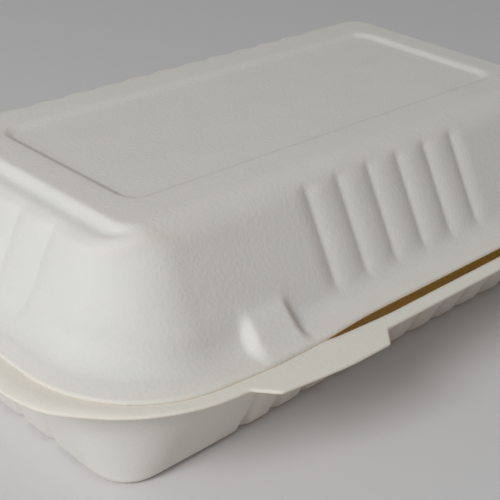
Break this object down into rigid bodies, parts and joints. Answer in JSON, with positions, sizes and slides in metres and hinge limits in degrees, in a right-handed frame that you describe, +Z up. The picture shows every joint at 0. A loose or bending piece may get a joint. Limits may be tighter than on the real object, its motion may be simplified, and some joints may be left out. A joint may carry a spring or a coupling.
{
  "type": "clamshell food box",
  "caption": "Hinged takeaway box of moulded plant pulp: a fluted tray with a wide rim and lifting tabs, and a fluted lid with a sunk top panel that folds back on a crease.",
  "frame": {"origin": "on the table, under the middle of the base's cup", "axes": "+X along the long side, +Y from the front tabs towards the crease, +Z up"},
  "size_m": [0.236, 0.1556, 0.0613],
  "materials": {
    "pulp": "matt off-white moulded sugar-cane pulp with a fine fibrous grain"
  },
  "bodies": {
    "base_half": {"base": "pulp"},
    "lid_half": {"lid": "pulp"}
  },
  "joints": [
    {"name": "lid_crease", "type": "hinge", "parent": "base_half", "child": "lid_half", "pos_m": [0, 0.0753, 0.03072], "axis": [-1, 0, 0], "range_deg": [0, 180]}
  ]
}
